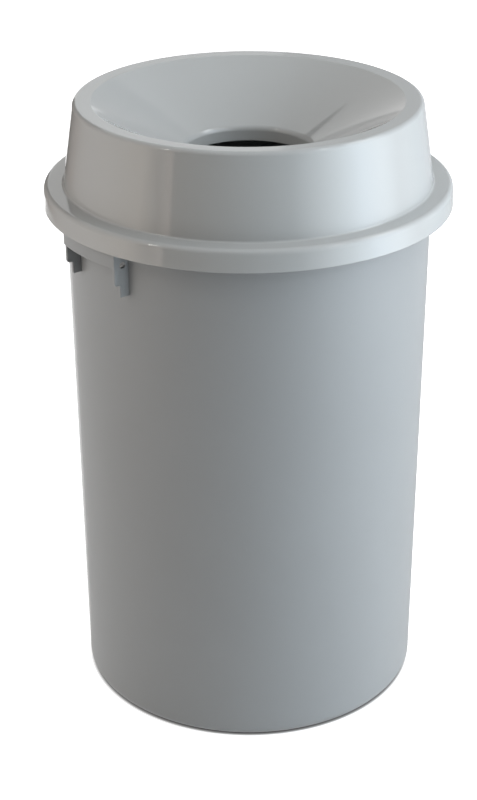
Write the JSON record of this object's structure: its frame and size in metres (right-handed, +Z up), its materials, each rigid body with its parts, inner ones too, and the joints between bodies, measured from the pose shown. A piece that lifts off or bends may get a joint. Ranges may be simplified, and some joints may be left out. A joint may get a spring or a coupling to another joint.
{
  "type": "open-top trash can",
  "caption": "Round, slightly tapered plastic bin with moulded side grips and a lift-off funnel lid that has an open round throat.",
  "frame": {"origin": "centre of the foot ring, on the floor", "axes": "+Z up along the bin's axis; the two grips lie on -X and +X; -Y is the front"},
  "size_m": [0.5324, 0.5324, 0.8248],
  "materials": {
    "bin_plastic": "satin light grey, finely textured moulded plastic",
    "lid_plastic": "glossy light grey moulded plastic"
  },
  "bodies": {
    "bin": {"bin_body": "bin_plastic"},
    "lid": {"funnel_lid": "lid_plastic"}
  },
  "joints": [
    {"name": "lid_lift", "type": "slide", "parent": "bin", "child": "lid", "axis": [0, 0, 1], "range_m": [0, 0.16]}
  ]
}
